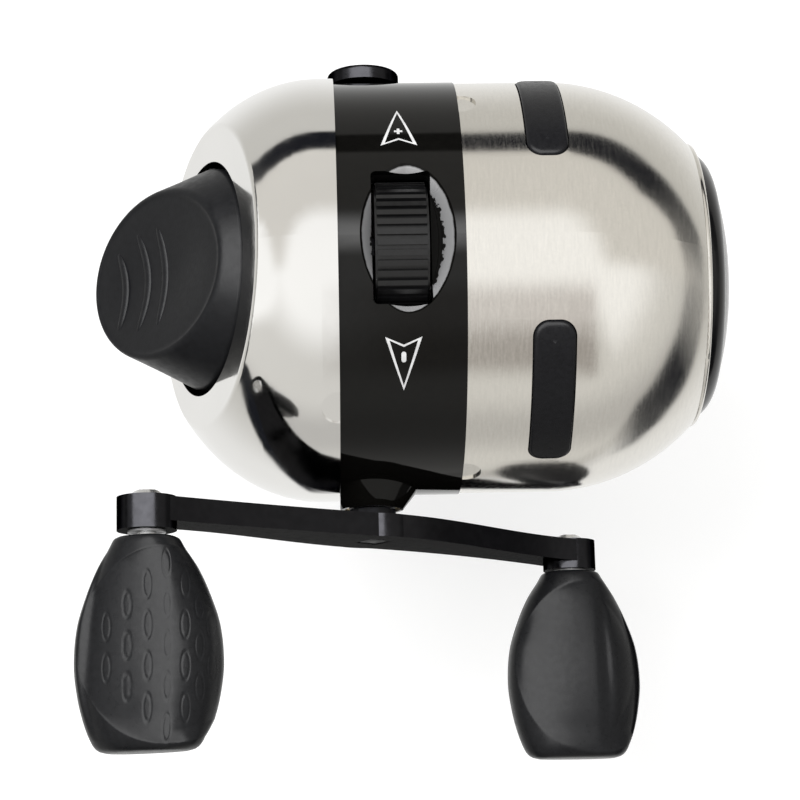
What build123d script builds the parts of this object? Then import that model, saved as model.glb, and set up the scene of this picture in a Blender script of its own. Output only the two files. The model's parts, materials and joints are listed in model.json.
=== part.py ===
from build123d import *
from math import asin, cos, degrees, radians, sin, sqrt
import os

# A closed-face (spincast) fishing reel. Its spool stands still while the crank turns a face
# gear, a pinion and the spinner head, whose pin lays the line on the spool.
# Frame: the origin is the middle of the foot's underside, +X runs towards the line exit, +Z is
# up and the crank is on the -Y side. Lengths are millimetres, angles are degrees.
# A height called "h" is measured from the reel's own axis, not from the foot.

os.makedirs("parts", exist_ok=True)

# Driving dimensions
AXIS_Z = 42.0  # reel axis above the foot's underside
CRANK_X = -4.4  # crank axis, along the reel
WALL = 0.8  # sheet thickness of both covers
FIT = 0.05  # radial clearance of a running fit

# Centre band
BAND_R = 33.0
BAND_HALF = 9.45
BAND_X = (-BAND_HALF, BAND_HALF)
BAND_BORE = 30.6
DECK = (11.0, 13.2)  # bulkhead that carries the hub, from x to x
REAR_SPIGOT_X = -13.5
FRONT_SPIGOT_X = 14.5
BOSS_R = 6.5

# Front cover: a straight skirt, then a quarter of an ellipse
FRONT_R = 32.8
FRONT_DOME_X = 24.0
FRONT_DOME_LENGTH = 31.8
FRONT_MOUTH_R = 22.6
FRONT_MOUTH_X = FRONT_DOME_X + FRONT_DOME_LENGTH * sqrt(1 - (FRONT_MOUTH_R / FRONT_R) ** 2)
PAD_X = 22.4
PAD_SIZE = (6.3, 24.6)
PAD_CORNER = 2.3
PAD_PROUD = 0.4
PAD_ANGLES = (45, -45, 135, -135)
FRONT_DIMPLES = (46, -74, 166)  # dimples over the bayonet lugs, angles from the top towards +Y

# Rear cover: a short skirt, a quarter of an ellipse, and a slanted flat for the button
REAR_R = 33.8
REAR_DOME_X = -12.0
REAR_DOME_LENGTH = 27.2
REAR_DIMPLES = (-45.5, 74.5, 194.5)
DIMPLE = (2.8, 5.6, 0.4)  # length from the band's edge, width, depth
SLANT = 20.5
OPENING_X = -30.1
OPENING_H = 8.6
OPENING_R = 18.4

# Thumb button
BUTTON_R = 17.4
FACE_HALF = (13.2, 16.1)  # half width and half length of the face
FACE_TILT = 41.0
FACE_X = -37.5
FACE_H = 12.2
FLANGE_R = 19.6
STEM_Y = (-2.0, 2.5)

YOKE_X = (CRANK_X - 9.6, CRANK_X + 5.4)  # frame round the crank shaft

# Drag wheel and its window
WHEEL_R = 10.0
WHEEL_HALF = 4.0
WHEEL_H = 24.5
WHEEL_RIBS = 40
WINDOW = (8.9, 20.4)  # along the reel and across it
SCOOP_X = 0.9
DRAG_SCREW_R = 2.0

# Gear train: a face gear on the crank and a pinion on the reel axis
GEAR_TEETH = 40
PINION_TEETH = 10
GEAR_FACE_Y = -4.2
GEAR_TIP_Y = -2.65
GEAR_BACK_Y = -7.0
GEAR_TOOTH_R = (11.8, 14.0)
GEAR_HUB_R = 3.6
GEAR_HUB_Y = (-35.5, 33.15)
PINION_X = (CRANK_X + 11.8, CRANK_X + 14.2)
PINION_ROOT_R = 2.5
PINION_TIP_R = 3.9

# Crank bushings and one-way clutch, on the crank axis
BUSHING_R = 4.4
CLUTCH_Y = -18.1
CLUTCH_DEPTH = 6.8
CLUTCH_R = 8.0
SLEEVE_R = 4.6
ROLLER_R = 0.88
ROLLER_RING_R = 5.52
ROLLER_COUNT = 6

# Crank arm and knobs
SQUARE = 4.0  # crank shaft, across its flats
BOSS_TIP_Y = -35.7
ARM_LENGTH = 42.7  # crank axis to knob axis
ARM_TILT = 38.0  # rear end up
ARM_INNER_Y = -37.2
ARM_THICK = 3.6
ARM_BOW = 0.5
ARM_END_Y = (-37.45, -42.4)
ARM_END_R = 4.4
RIVET_R = 1.5
KNOB_Y = {"rear": -43.4, "front": -42.75}  # each knob's inner end; they have some end play
KNOB_TURN = {"rear": 27.0, "front": -8.0}
# Distance from the inner end, width and thickness of a knob
KNOB_SECTIONS = ((0, 9.8, 8.8), (8.5, 18.6, 11.2), (18.5, 22.2, 12.6), (26.5, 19.6, 11.0), (31.0, 15.0, 9.2))
KNOB_BORE_R = 2.9
RIVET_HEAD_Y = -61.0  # shoulder of the riveted heads, deep inside the knobs
KNOB_CAP_DEPTH = 2.0

# Hub, spool and centre shaft
SHAFT_R = 1.6
SHAFT_FLAT = 1.25
SHAFT_X = (YOKE_X[1] + 0.1, 41.5)
HUB_R = 5.0
HUB_FLANGE_R = 9.5
HUB_SCREW_RING_R = 7.6
SPOOL_X = (15.65, 31.3)
SPRING_X = (16.0, 32.0)
SPINNER_R = 25.0

# Foot
FOOT = (58.0, 13.5, 2.6)
FOOT_SCREW_X = 5.0

BASE = (Align.CENTER, Align.CENTER, Align.MIN)
REEL_AXIS = Axis((0, 0, AXIS_Z), (1, 0, 0))
# Half section through the reel: local x is X, local y is the height above the reel's axis.
MERIDIAN = Plane(origin=(0, 0, AXIS_Z), x_dir=(1, 0, 0), z_dir=(0, -1, 0))


def along(x, y=0.0, h=0.0):
    """A plane across the reel at x, facing the nose. Local x is +Y and local y is up."""
    return Plane(origin=(x, y, AXIS_Z + h), x_dir=(0, 1, 0), z_dir=(1, 0, 0))


def sideways(y, x=CRANK_X, h=0.0):
    """A plane across the crank's axis at y, facing the crank. Local x is +X, local y is up."""
    return Plane(origin=(x, y, AXIS_Z + h), x_dir=(1, 0, 0), z_dir=(0, -1, 0))


def slanted(x, h, tilt):
    """A plane that faces back and up. Local x is +Y and local y points down."""
    facing = (-cos(radians(tilt)), 0, sin(radians(tilt)))
    return Plane(origin=(x, 0, AXIS_Z + h), x_dir=(0, 1, 0), z_dir=facing)


def outward(angle, x, r):
    """A plane that faces out of the reel, angle from the top towards +Y. Local x is +X."""
    out = (0, sin(radians(angle)), cos(radians(angle)))
    return Plane(origin=(x, r * out[1], AXIS_Z + r * out[2]), x_dir=(1, 0, 0), z_dir=out)


def ring(start, r_out, r_in, length, mode=Mode.ADD):
    """Put a tube on a plane, in the part that is being built."""
    with BuildSketch(start) as section:
        Circle(r_out)
        Circle(r_in, mode=Mode.SUBTRACT)
    extrude(section.sketch, amount=length, mode=mode)


def rod(start, r, length, mode=Mode.ADD):
    """Put a solid cylinder on a plane, in the part that is being built."""
    with Locations(start):
        Cylinder(r, length, align=BASE, mode=mode)


def block(x, y, h, mode=Mode.ADD):
    """A box given by its ranges along X, Y and height, in the part that is being built."""
    middle = ((x[0] + x[1]) / 2, (y[0] + y[1]) / 2, AXIS_Z + (h[0] + h[1]) / 2)
    with Locations(middle):
        Box(x[1] - x[0], y[1] - y[0], h[1] - h[0], mode=mode)


def turned(outline, mode=Mode.ADD):
    """Turn an outline of (x, r) corners about the reel's axis, in the part being built."""
    with BuildSketch(MERIDIAN) as section:
        with BuildLine():
            Polyline(*outline, close=True)
        make_face()
    revolve(section.sketch, axis=REEL_AXIS, mode=mode)


def dimple(angle, x, r):
    """Press a shallow rounded mark on a cover's edge at x of outer radius r."""
    length, width, depth = DIMPLE
    with BuildSketch(outward(angle, x, r - depth)) as mark:
        RectangleRounded(2 * length, width, 0.45 * width)
    extrude(mark.sketch, amount=2, mode=Mode.SUBTRACT)


def front_dome(r, length, mouth_r, x_open):
    """A solid of the front cover's form, from x_open to where the dome is mouth_r wide."""
    mouth_angle = degrees(asin(mouth_r / r))
    with BuildSketch(MERIDIAN) as section:
        with BuildLine():
            skirt = Polyline((x_open, 0), (x_open, r), (FRONT_DOME_X, r))
            arc = EllipticalCenterArc((FRONT_DOME_X, 0), length, r, mouth_angle, arc_size=90 - mouth_angle)
            mouth = min(arc @ 0, arc @ 1, key=lambda end: end.Y)
            Polyline(mouth, (mouth.X, 0), skirt @ 0)
        make_face()
    revolve(section.sketch, axis=REEL_AXIS)


def rear_dome(r, length, x_open):
    """A solid of the rear cover's form, from x_open back to the tip of the tail."""
    with BuildSketch(MERIDIAN) as section:
        with BuildLine():
            skirt = Polyline((x_open, 0), (x_open, r), (REAR_DOME_X, r))
            EllipticalCenterArc((REAR_DOME_X, 0), length, r, 90, arc_size=90)
            Line((REAR_DOME_X - length, 0), skirt @ 0)
        make_face()
    revolve(section.sketch, axis=REEL_AXIS)


# ---------------------------------------------------------------- centre band and its inside

crank_boss_y = (BOSS_TIP_Y, GEAR_HUB_Y[1])

with BuildPart() as main_body:
    turned([
        (REAR_SPIGOT_X, BAND_BORE), (REAR_SPIGOT_X, REAR_R - WALL - 0.1), (-BAND_HALF, REAR_R - WALL - 0.1),
        (-BAND_HALF, BAND_R), (BAND_HALF, BAND_R), (BAND_HALF, FRONT_R - WALL - 0.1),
        (FRONT_SPIGOT_X, FRONT_R - WALL - 0.1), (FRONT_SPIGOT_X, BAND_BORE), (DECK[1], BAND_BORE),
        (DECK[1], 6.05), (DECK[0], 6.05), (DECK[0], BAND_BORE),
    ])
    # Block under the scoop, and the two lugs that carry the drag screw
    block((-8, 8), (-12.5, 12.5), (26.5, 30.0))
    for lug in ((-8, -5.4), (5.4, 8)):
        block(lug, (-5, 5), (20, 28))
    # Crank bosses, with the clutch housing on the crank's side
    rod(sideways(31.5), BOSS_R, 6.5)
    rod(sideways(crank_boss_y[1]), 5.0, 5)
    rod(sideways(-25), BOSS_R, 7.6)
    with Locations(sideways(-31.6)):
        Cone(8.2, 4.9, -31.6 - BOSS_TIP_Y, align=BASE)
    ring(along(REAR_SPIGOT_X - 1), 45, REAR_R - WALL - 0.1, BAND_X[0] - REAR_SPIGOT_X + 1, mode=Mode.SUBTRACT)
    rod(sideways(CLUTCH_Y), CLUTCH_R + 1.5, CLUTCH_DEPTH + 1.6)
    rod(sideways(CLUTCH_Y), CLUTCH_R, CLUTCH_DEPTH, mode=Mode.SUBTRACT)
    rod(sideways(CLUTCH_Y - 1), BUSHING_R, 20, mode=Mode.SUBTRACT)
    rod(sideways(35), BUSHING_R, 12, mode=Mode.SUBTRACT)
    # Scoop and window for the drag wheel
    with BuildSketch(Plane.XY.offset(AXIS_Z + 29.8)) as scoop_floor:
        with Locations((SCOOP_X, 0)):
            Ellipse(4.6, 10.2)
    with BuildSketch(Plane.XY.offset(AXIS_Z + 34.2)) as scoop_rim:
        with Locations((SCOOP_X, 0)):
            Ellipse(8.1, 15.5)
    loft([scoop_floor.sketch, scoop_rim.sketch], mode=Mode.SUBTRACT)
    with BuildSketch(Plane.XY.offset(AXIS_Z + 20)) as window:
        RectangleRounded(*WINDOW, 0.8)
    extrude(window.sketch, amount=16, mode=Mode.SUBTRACT)
    rod(along(-9, h=WHEEL_H), DRAG_SCREW_R + FIT, 24, mode=Mode.SUBTRACT)
    # Screw holes for the hub and the foot
    with BuildSketch(along(DECK[0] - 1)) as hub_holes:
        with PolarLocations(HUB_SCREW_RING_R, 3, start_angle=30):
            Circle(1.0)
    extrude(hub_holes.sketch, amount=4, mode=Mode.SUBTRACT)
    for x in (-FOOT_SCREW_X, FOOT_SCREW_X):
        rod(Plane.XY.offset(AXIS_Z - 34).shift_origin((x, 0, AXIS_Z - 34)), 1.25, 5, mode=Mode.SUBTRACT)

with BuildPart() as crank_bushings:
    ring(sideways(CLUTCH_Y - CLUTCH_DEPTH), BUSHING_R, GEAR_HUB_R + FIT, 10.5)
    ring(sideways(crank_boss_y[1] - 0.05), BUSHING_R, GEAR_HUB_R + FIT, 8)

with BuildPart() as center_hub:
    turned([
        (DECK[0], 4.0), (DECK[0], 6.0), (DECK[1], 6.0), (DECK[1], HUB_FLANGE_R), (15.0, HUB_FLANGE_R),
        (15.0, HUB_R), (34.0, HUB_R), (34.0, SHAFT_R + 0.1), (SPRING_X[1], SHAFT_R + 0.1),
        (SPRING_X[1], 3.5), (SPRING_X[0], 3.5), (SPRING_X[0], 4.0),
    ])
    with BuildSketch(along(DECK[1])) as screw_shanks:
        with PolarLocations(HUB_SCREW_RING_R, 3, start_angle=30):
            Circle(1.0)
    extrude(screw_shanks.sketch, amount=2, mode=Mode.SUBTRACT)
    with BuildSketch(along(14.0)) as screw_heads:
        with PolarLocations(HUB_SCREW_RING_R, 3, start_angle=30):
            Circle(1.8)
    extrude(screw_heads.sketch, amount=1, mode=Mode.SUBTRACT)

with BuildPart() as hub_screws:
    with BuildSketch(along(14.0)) as heads:
        with PolarLocations(HUB_SCREW_RING_R, 3, start_angle=30):
            Circle(1.7)
    extrude(heads.sketch, amount=0.95)
    with BuildSketch(along(DECK[0])) as shanks:
        with PolarLocations(HUB_SCREW_RING_R, 3, start_angle=30):
            Circle(0.95)
    extrude(shanks.sketch, amount=3)

with BuildPart() as pinion_bushing:
    ring(along(DECK[0] + 0.1), 4.0, 2.95, 4.4)

# ---------------------------------------------------------------- front cover and its trim

with BuildPart() as front_cavity:
    front_dome(FRONT_R - WALL, FRONT_DOME_LENGTH - WALL, FRONT_MOUTH_R - WALL, BAND_HALF)

with BuildPart() as front_cover:
    front_dome(FRONT_R, FRONT_DOME_LENGTH, FRONT_MOUTH_R, BAND_HALF + 0.05)
    add(front_cavity.part, mode=Mode.SUBTRACT)
    rod(along(44), FRONT_MOUTH_R - WALL, 6, mode=Mode.SUBTRACT)
    # Rolled edge round the mouth
    with BuildSketch(MERIDIAN) as bead:
        with Locations((FRONT_MOUTH_X, FRONT_MOUTH_R - 0.35)):
            Circle(0.55)
    revolve(bead.sketch, axis=REEL_AXIS)
    for angle in FRONT_DIMPLES:
        dimple(angle, BAND_HALF, FRONT_R)
    # Slots for the grip pads
    for angle in PAD_ANGLES:
        with BuildSketch(outward(angle, PAD_X, 26)) as slot:
            RectangleRounded(PAD_SIZE[0] + 0.3, PAD_SIZE[1] + 0.3, PAD_CORNER + 0.15)
        extrude(slot.sketch, amount=10, mode=Mode.SUBTRACT)

grip_pads = {}
for number, angle in enumerate(PAD_ANGLES, start=1):
    with BuildPart() as grip_pad:
        ring(along(PAD_X - 6), FRONT_R + PAD_PROUD, FRONT_R - WALL - 1.0, 12)
        with BuildSketch(outward(angle, PAD_X, 24)) as outline:
            RectangleRounded(*PAD_SIZE, PAD_CORNER)
        extrude(outline.sketch, amount=12, mode=Mode.INTERSECT)
    grip_pads[f"grip_pad_{number}"] = grip_pad

with BuildPart() as nose_ring:
    with BuildSketch(MERIDIAN):
        with BuildLine():
            flange = Polyline((50.3, 4.6), (49.4, 12.5), (47.6, 18.0), (44.2, 19.6), (44.2, 22.0),
                              (45.1, 22.0))
            collar = Polyline(flange @ 1, (45.1, 21.35), (47.9, 21.35))
            shoulder = ThreePointArc(collar @ 1, (49.5, 19.9), (50.4, 17.5))
            cap = ThreePointArc(shoulder @ 1, (51.9, 12.0), (52.7, 4.6))
            Line(cap @ 1, flange @ 0)
        make_face()
    revolve(axis=REEL_AXIS)

with BuildPart() as line_guide:
    turned([
        (49.2, 3.6), (49.2, 5.6), (50.1, 5.6), (50.2, 4.55), (52.8, 4.55), (53.0, 4.3), (53.0, 3.5),
        (52.4, 3.1), (50.2, 3.1),
    ])

# ---------------------------------------------------------------- rear cover and thumb button

opening_plane = slanted(OPENING_X, OPENING_H, SLANT)

with BuildPart() as rear_cavity:
    rear_dome(REAR_R - WALL, REAR_DOME_LENGTH - WALL, -BAND_HALF)
    split(bisect_by=opening_plane.offset(-WALL), keep=Keep.BOTTOM)

with BuildPart() as rear_cover:
    rear_dome(REAR_R, REAR_DOME_LENGTH, -BAND_HALF - 0.05)
    split(bisect_by=opening_plane, keep=Keep.BOTTOM)
    crease = faces().filter_by(GeomType.PLANE).sort_by(Axis.X)[0].outer_wire().edges()
    fillet(crease, radius=1.2)
    add(rear_cavity.part, mode=Mode.SUBTRACT)
    rod(opening_plane.offset(-8), OPENING_R, 12, mode=Mode.SUBTRACT)
    for angle in REAR_DIMPLES:
        dimple(angle, -BAND_HALF, REAR_R)

with BuildPart() as button_cavity:
    with BuildSketch(opening_plane.offset(-2.5)) as cavity_base:
        Circle(BUTTON_R - 2.4)
    with BuildSketch(slanted(FACE_X, FACE_H, FACE_TILT).offset(-2.2)) as cavity_face:
        Ellipse(FACE_HALF[0] - 2.4, FACE_HALF[1] - 2.4)
    loft([cavity_base.sketch, cavity_face.sketch])
    block((-60, -10), (-1.2, 1.2), (-20, 40), mode=Mode.SUBTRACT)
    block((-46, -10), STEM_Y, (-6, 6), mode=Mode.SUBTRACT)

with BuildPart() as thumb_button:
    with BuildSketch(opening_plane) as button_base:
        Circle(BUTTON_R)
    with BuildSketch(slanted(FACE_X, FACE_H, FACE_TILT)) as button_face:
        Ellipse(*FACE_HALF)
    loft([button_base.sketch, button_face.sketch])
    rim = faces().filter_by(GeomType.PLANE).sort_by(Axis.X)[0].edges()
    chamfer(rim, length=0.35)
    rod(opening_plane.offset(-1.9), BUTTON_R, 1.9)
    rod(opening_plane.offset(-WALL - 1.1), FLANGE_R, 1.0)
    add(button_cavity.part, mode=Mode.SUBTRACT)
    block((-31, YOKE_X[0]), STEM_Y, (-6, 6))

with BuildPart() as push_yoke:
    block(YOKE_X, STEM_Y, (-7.0, 7.0))
    block((YOKE_X[0] + 1, YOKE_X[1] - 1), (-3.0, 3.5), (-5.0, 5.0), mode=Mode.SUBTRACT)

# ---------------------------------------------------------------- drag wheel and spool brake

with BuildPart() as drag_wheel:
    rod(along(-WHEEL_HALF, h=WHEEL_H), WHEEL_R - 0.55, 2 * WHEEL_HALF)
    with BuildSketch(along(-WHEEL_HALF + 0.3, h=WHEEL_H)) as ribs:
        with PolarLocations(WHEEL_R - 0.6, WHEEL_RIBS):
            Rectangle(1.2, 0.85)
    extrude(ribs.sketch, amount=2 * WHEEL_HALF - 0.6)
    with BuildSketch(along(-WHEEL_HALF - 1, h=WHEEL_H)) as keyed_bore:
        Circle(DRAG_SCREW_R + FIT)
        Rectangle(6, 2 * 1.55, mode=Mode.INTERSECT)
    extrude(keyed_bore.sketch, amount=2 * WHEEL_HALF + 2, mode=Mode.SUBTRACT)

with BuildPart() as drag_screw:
    rod(along(-8.5, h=WHEEL_H), DRAG_SCREW_R, 23.7)
    for side in (-1, 1):
        low, high = sorted((side * 1.5, side * 3.0))
        block((-5.2, 5.2), (-3, 3), (WHEEL_H + low, WHEEL_H + high), mode=Mode.SUBTRACT)

with BuildPart() as drag_pad:
    rod(along(15.2, h=WHEEL_H), 2.6, 1.2)

with BuildPart() as drag_washer:
    ring(along(15.0), HUB_FLANGE_R - 0.3, HUB_R + FIT, 0.6)

# ---------------------------------------------------------------- spool

with BuildPart() as spool:
    turned([
        (SPOOL_X[0], HUB_R + 0.08), (SPOOL_X[0], 9.0), (17.0, 9.0), (17.0, 26.5), (18.4, 26.5), (18.4, 11.0),
        (30.0, 11.0), (30.0, 22.5), (SPOOL_X[1], 22.5), (SPOOL_X[1], HUB_R + 0.08),
    ])

with BuildPart() as spool_washer:
    ring(along(31.4), 8.5, HUB_R, 0.4)

with BuildPart() as spool_nut:
    with BuildSketch(along(31.8)) as nut:
        RegularPolygon(7.6, 6)
        Circle(HUB_R, mode=Mode.SUBTRACT)
    extrude(nut.sketch, amount=2.0)

# ---------------------------------------------------------------- gear train and crank shaft


def gear_tooth_plane(angle):
    """A plane across one tooth of the face gear. Local x is tangential and local y is -Y."""
    out = (cos(radians(angle)), 0, sin(radians(angle)))
    start = (CRANK_X + GEAR_TOOTH_R[0] * out[0], 0, AXIS_Z + GEAR_TOOTH_R[0] * out[2])
    return Plane(origin=start, x_dir=(-out[2], 0, out[0]), z_dir=out)


with BuildPart() as drive_gear:
    rod(sideways(GEAR_HUB_Y[1]), GEAR_HUB_R, GEAR_HUB_Y[1] - GEAR_HUB_Y[0])
    rod(sideways(GEAR_FACE_Y), GEAR_TOOTH_R[1], GEAR_FACE_Y - GEAR_BACK_Y)
    for index in range(GEAR_TEETH):
        with BuildSketch(gear_tooth_plane(index * 360 / GEAR_TEETH)) as gear_tooth:
            with BuildLine():
                Polyline((-0.5, -GEAR_FACE_Y + 0.1), (-0.17, -GEAR_TIP_Y), (0.17, -GEAR_TIP_Y),
                         (0.5, -GEAR_FACE_Y + 0.1), close=True)
            make_face()
        extrude(gear_tooth.sketch, amount=GEAR_TOOTH_R[1] - GEAR_TOOTH_R[0] - 0.02)
    with BuildSketch(sideways(GEAR_HUB_Y[1] + 1)) as square_bore:
        Rectangle(SQUARE + 0.1, SQUARE + 0.1, rotation=-ARM_TILT)
    extrude(square_bore.sketch, amount=70, mode=Mode.SUBTRACT)

with BuildPart() as pinion_gear:
    with BuildSketch(along(PINION_X[0])) as pinion_outline:
        Circle(PINION_ROOT_R)
        with PolarLocations(0, PINION_TEETH, start_angle=180 / PINION_TEETH):
            Polygon((PINION_ROOT_R - 0.2, -0.62), (PINION_TIP_R, -0.22), (PINION_TIP_R, 0.22),
                    (PINION_ROOT_R - 0.2, 0.62), align=None)
    extrude(pinion_outline.sketch, amount=PINION_X[1] - PINION_X[0])
    rod(along(PINION_X[1]), 2.9, 15.8 - PINION_X[1])
    with BuildSketch(along(PINION_X[0] - 1)) as pinion_bore:
        Circle(SHAFT_R + FIT)
        Rectangle(4, 2 * (SHAFT_FLAT + FIT), mode=Mode.INTERSECT)
    extrude(pinion_bore.sketch, amount=10, mode=Mode.SUBTRACT)

with BuildPart() as clutch_sleeve:
    ring(sideways(CLUTCH_Y - 0.4), SLEEVE_R, GEAR_HUB_R, CLUTCH_DEPTH - 0.8)

with BuildPart() as clutch_race:
    ring(sideways(CLUTCH_Y), CLUTCH_R, ROLLER_RING_R + ROLLER_R + 0.02, CLUTCH_DEPTH)

with BuildPart() as clutch_rollers:
    with BuildSketch(sideways(CLUTCH_Y - 0.9)) as roller_ends:
        with PolarLocations(ROLLER_RING_R, ROLLER_COUNT):
            Circle(ROLLER_R)
    extrude(roller_ends.sketch, amount=CLUTCH_DEPTH - 1.8)

with BuildPart() as clutch_cage:
    ring(sideways(CLUTCH_Y - 0.3), 6.2, SLEEVE_R + 0.25, CLUTCH_DEPTH - 0.6)
    with BuildSketch(sideways(CLUTCH_Y - 0.85)) as roller_slots:
        with PolarLocations(ROLLER_RING_R, ROLLER_COUNT):
            Circle(ROLLER_R + FIT)
    extrude(roller_slots.sketch, amount=CLUTCH_DEPTH - 1.7, mode=Mode.SUBTRACT)

with BuildPart() as crank_shaft:
    with BuildSketch(sideways(32.6)) as square_bar:
        Rectangle(SQUARE, SQUARE, rotation=-ARM_TILT)
    extrude(square_bar.sketch, amount=32.6 - ARM_INNER_Y + ARM_THICK - 0.1)
    rod(sideways(34.8), RIVET_R, 2.4)
    ring(sideways(BOSS_TIP_Y - 0.1), 3.7, 2.0, BOSS_TIP_Y - ARM_INNER_Y - 0.1)

with BuildPart() as handle_cap:
    rod(sideways(36.3), 5.8, 2.25)
    top_edge = faces().sort_by(Axis.Y)[-1].edges()
    fillet(top_edge, radius=0.6)
    rod(sideways(34.9), RIVET_R, 3, mode=Mode.SUBTRACT)

# ---------------------------------------------------------------- crank arm and knobs

arm_dir = (-cos(radians(ARM_TILT)), 0, sin(radians(ARM_TILT)))
knob_axes = {
    "rear": (CRANK_X + ARM_LENGTH * arm_dir[0], ARM_LENGTH * arm_dir[2]),
    "front": (CRANK_X - ARM_LENGTH * arm_dir[0], -ARM_LENGTH * arm_dir[2]),
}
# Seen along the crank's axis, with local x towards the rear knob
arm_front = Plane(origin=(CRANK_X, ARM_INNER_Y + 2, AXIS_Z), x_dir=arm_dir, z_dir=(0, -1, 0))
# Seen along the arm's edge, with local x towards the rear knob and local y towards -Y
arm_edge = Plane(origin=(CRANK_X, 0, AXIS_Z), x_dir=arm_dir, z_dir=(arm_dir[2], 0, -arm_dir[0]))
arm_reach = ARM_LENGTH + ARM_END_R + 2
bow_drop = ARM_BOW * (arm_reach / ARM_LENGTH) ** 2

with BuildPart() as crank_arm:
    with BuildSketch(arm_front) as arm_outline:
        Circle(6.6)
        with Locations((ARM_LENGTH, 0), (-ARM_LENGTH, 0)):
            Circle(ARM_END_R)
        with BuildLine():
            upper = Spline((0, 6.5), (14, 5.8), (28, 3.8), (ARM_LENGTH, ARM_END_R - 0.1))
            lower = Spline((0, -6.2), (14, -4.4), (28, -3.8), (ARM_LENGTH, -ARM_END_R + 0.1))
            Line(upper @ 1, lower @ 1)
            Line(upper @ 0, lower @ 0)
        make_face()
        with BuildLine():
            upper_2 = Spline((0, -6.5), (-14, -5.8), (-28, -3.8), (-ARM_LENGTH, -ARM_END_R + 0.1))
            lower_2 = Spline((0, 6.2), (-14, 4.4), (-28, 3.8), (-ARM_LENGTH, ARM_END_R - 0.1))
            Line(upper_2 @ 1, lower_2 @ 1)
            Line(upper_2 @ 0, lower_2 @ 0)
        make_face()
    extrude(arm_outline.sketch, amount=14)
    with BuildSketch(arm_edge) as arm_bow:
        with BuildLine():
            inner = ThreePointArc((-arm_reach, -ARM_INNER_Y + bow_drop), (0, -ARM_INNER_Y),
                                  (arm_reach, -ARM_INNER_Y + bow_drop))
            outer = ThreePointArc((-arm_reach, -ARM_INNER_Y + bow_drop + ARM_THICK),
                                  (0, -ARM_INNER_Y + ARM_THICK),
                                  (arm_reach, -ARM_INNER_Y + bow_drop + ARM_THICK))
            Line(inner @ 0, outer @ 0)
            Line(inner @ 1, outer @ 1)
        make_face()
    extrude(arm_bow.sketch, amount=12, both=True, mode=Mode.INTERSECT)
    with BuildSketch(sideways(-30)) as arm_square:
        Rectangle(SQUARE, SQUARE, rotation=-ARM_TILT)
    extrude(arm_square.sketch, amount=20, mode=Mode.SUBTRACT)
    for x, h in knob_axes.values():
        rod(sideways(ARM_END_Y[0], x, h), ARM_END_R, ARM_END_Y[0] - ARM_END_Y[1])
        rod(sideways(-34, x, h), RIVET_R, 12, mode=Mode.SUBTRACT)

knobs = {}
knob_caps = {}
for end, (x, h) in knob_axes.items():
    width_dir = (cos(radians(KNOB_TURN[end])), 0, sin(radians(KNOB_TURN[end])))
    with BuildPart() as knob:
        for distance, width, thickness in KNOB_SECTIONS:
            start = Plane(origin=(x, KNOB_Y[end] - distance, AXIS_Z + h), x_dir=width_dir, z_dir=(0, -1, 0))
            with BuildSketch(start):
                RectangleRounded(width, thickness, 0.46 * thickness)
        loft()
        fillet(faces().sort_by(Axis.Y)[0].edges(), radius=1.6)
        rod(sideways(KNOB_Y[end] + 1, x, h), RIVET_R + FIT, 20, mode=Mode.SUBTRACT)
        rod(sideways(RIVET_HEAD_Y + 0.1, x, h), KNOB_BORE_R, 20, mode=Mode.SUBTRACT)
    knobs[f"knob_{end}"] = knob
    with BuildPart() as knob_cap:
        cap_y = KNOB_Y[end] - KNOB_SECTIONS[-1][0] + KNOB_CAP_DEPTH + 0.4
        rod(sideways(cap_y, x, h), KNOB_BORE_R, KNOB_CAP_DEPTH)
    knob_caps[f"knob_cap_{end}"] = knob_cap

with BuildPart() as knob_rivets:
    for x, h in knob_axes.values():
        rod(sideways(ARM_END_Y[0] + 1, x, h), RIVET_R, 25.0)
        with Locations(sideways(ARM_END_Y[0] + 0.85, x, h)):
            Cone(1.9, 2.6, 0.8, align=BASE)
        rod(sideways(RIVET_HEAD_Y, x, h), 2.6, 1.2)

with BuildPart() as knob_washers:
    for x, h in knob_axes.values():
        ring(sideways(ARM_END_Y[1], x, h), 2.8, RIVET_R, 0.3)

# ---------------------------------------------------------------- centre shaft and spinner head

with BuildPart() as center_shaft:
    rod(along(SHAFT_X[0]), SHAFT_R, SHAFT_X[1] - SHAFT_X[0])
    for low, high in ((-3, -SHAFT_FLAT), (SHAFT_FLAT, 3)):
        block((SHAFT_X[0] - 1, 16.1), (-3, 3), (low, high), mode=Mode.SUBTRACT)

with BuildPart() as spring_clip:
    ring(along(16.2), 3.2, SHAFT_R, 0.6)

with BuildPart() as main_spring:
    with BuildLine() as coil:
        wire = Helix(pitch=2.4, height=14.4, radius=2.75, center=(17.2, 0, AXIS_Z), direction=(1, 0, 0))
    with BuildSketch(Plane(origin=wire @ 0, z_dir=wire % 0)):
        Circle(0.3)
    sweep(path=coil.line)

with BuildPart() as spinner_head:
    turned([
        (35.0, SHAFT_R), (35.0, 5.0), (36.8, 5.0), (36.8, 19.8), (33.9, 24.0), (29.6, 24.0),
        (29.6, SPINNER_R), (34.5, SPINNER_R), (38.0, 20.5), (38.0, SHAFT_R),
    ])
    # Housing of the pickup pin
    block((31.6, 34.0), (-2.2, 2.2), (18.4, 24.3))
    block((33.9, 37.2), (-2.2, 2.2), (17.0, 19.6))
    rod(Plane.XY.offset(AXIS_Z + 16).shift_origin((32.6, 0, AXIS_Z + 16)), 0.95, 14, mode=Mode.SUBTRACT)

with BuildPart() as pickup_pin:
    rod(Plane.XY.offset(AXIS_Z + 20.4).shift_origin((32.6, 0, AXIS_Z + 20.4)), 0.9, 6.2)

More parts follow.
